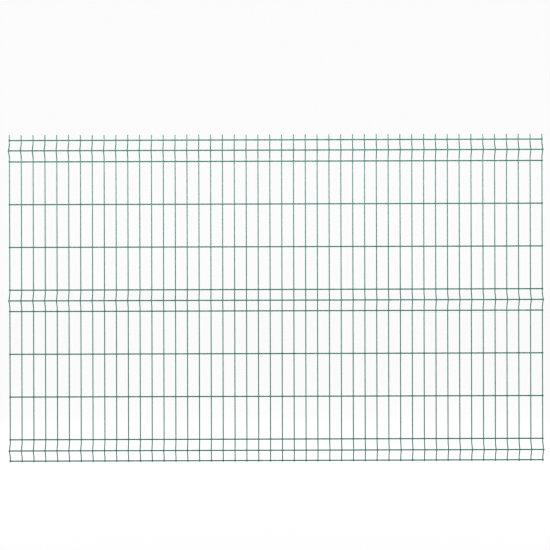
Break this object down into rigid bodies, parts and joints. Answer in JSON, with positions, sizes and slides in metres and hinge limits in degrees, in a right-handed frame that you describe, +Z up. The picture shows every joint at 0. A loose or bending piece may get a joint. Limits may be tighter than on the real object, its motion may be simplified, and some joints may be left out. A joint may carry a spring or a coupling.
{
  "type": "welded mesh fence panel",
  "caption": "Rigid panel of welded wire: straight cross wires behind uprights that are pressed into V-folds, with a row of short spikes along the top.",
  "frame": {"origin": "under the middle of the panel's width and depth, at the level of the uprights' lower cut ends", "axes": "+X along the cross wires, +Z up to the spikes, and the crests of the folds point to -Y, which is the panel's front"},
  "size_m": [2.5, 0.0337, 1.53],
  "materials": {
    "green_coating": "satin"
  },
  "bodies": {
    "root": {"upright_wire_01": "green_coating", "upright_wire_02": "green_coating", "upright_wire_03": "green_coating", "upright_wire_04": "green_coating", "upright_wire_05": "green_coating", "upright_wire_06": "green_coating", "upright_wire_07": "green_coating", "upright_wire_08": "green_coating", "upright_wire_09": "green_coating", "upright_wire_10": "green_coating", "upright_wire_11": "green_coating", "upright_wire_12": "green_coating", "upright_wire_13": "green_coating", "upright_wire_14": "green_coating", "upright_wire_15": "green_coating", "upright_wire_16": "green_coating", "upright_wire_17": "green_coating", "upright_wire_18": "green_coating", "upright_wire_19": "green_coating", "upright_wire_20": "green_coating", "upright_wire_21": "green_coating", "upright_wire_22": "green_coating", "upright_wire_23": "green_coating", "upright_wire_24": "green_coating", "upright_wire_25": "green_coating", "upright_wire_26": "green_coating", "upright_wire_27": "green_coating", "upright_wire_28": "green_coating", "upright_wire_29": "green_coating", "upright_wire_30": "green_coating", "upright_wire_31": "green_coating", "upright_wire_32": "green_coating", "upright_wire_33": "green_coating", "upright_wire_34": "green_coating", "upright_wire_35": "green_coating", "upright_wire_36": "green_coating", "upright_wire_37": "green_coating", "upright_wire_38": "green_coating", "upright_wire_39": "green_coating", "upright_wire_40": "green_coating", "upright_wire_41": "green_coating", "upright_wire_42": "green_coating", "upright_wire_43": "green_coating", "upright_wire_44": "green_coating", "upright_wire_45": "green_coating", "upright_wire_46": "green_coating", "bottom_fold_lower_wire": "green_coating", "bottom_fold_crest_wire": "green_coating", "bottom_fold_upper_wire": "green_coating", "middle_fold_lower_wire": "green_coating", "middle_fold_crest_wire": "green_coating", "middle_fold_upper_wire": "green_coating", "top_fold_lower_wire": "green_coating", "top_fold_crest_wire": "green_coating", "top_fold_upper_wire": "green_coating", "bottom_to_middle_wire_1": "green_coating", "bottom_to_middle_wire_2": "green_coating", "middle_to_top_wire_1": "green_coating", "middle_to_top_wire_2": "green_coating"}
  },
  "joints": []
}
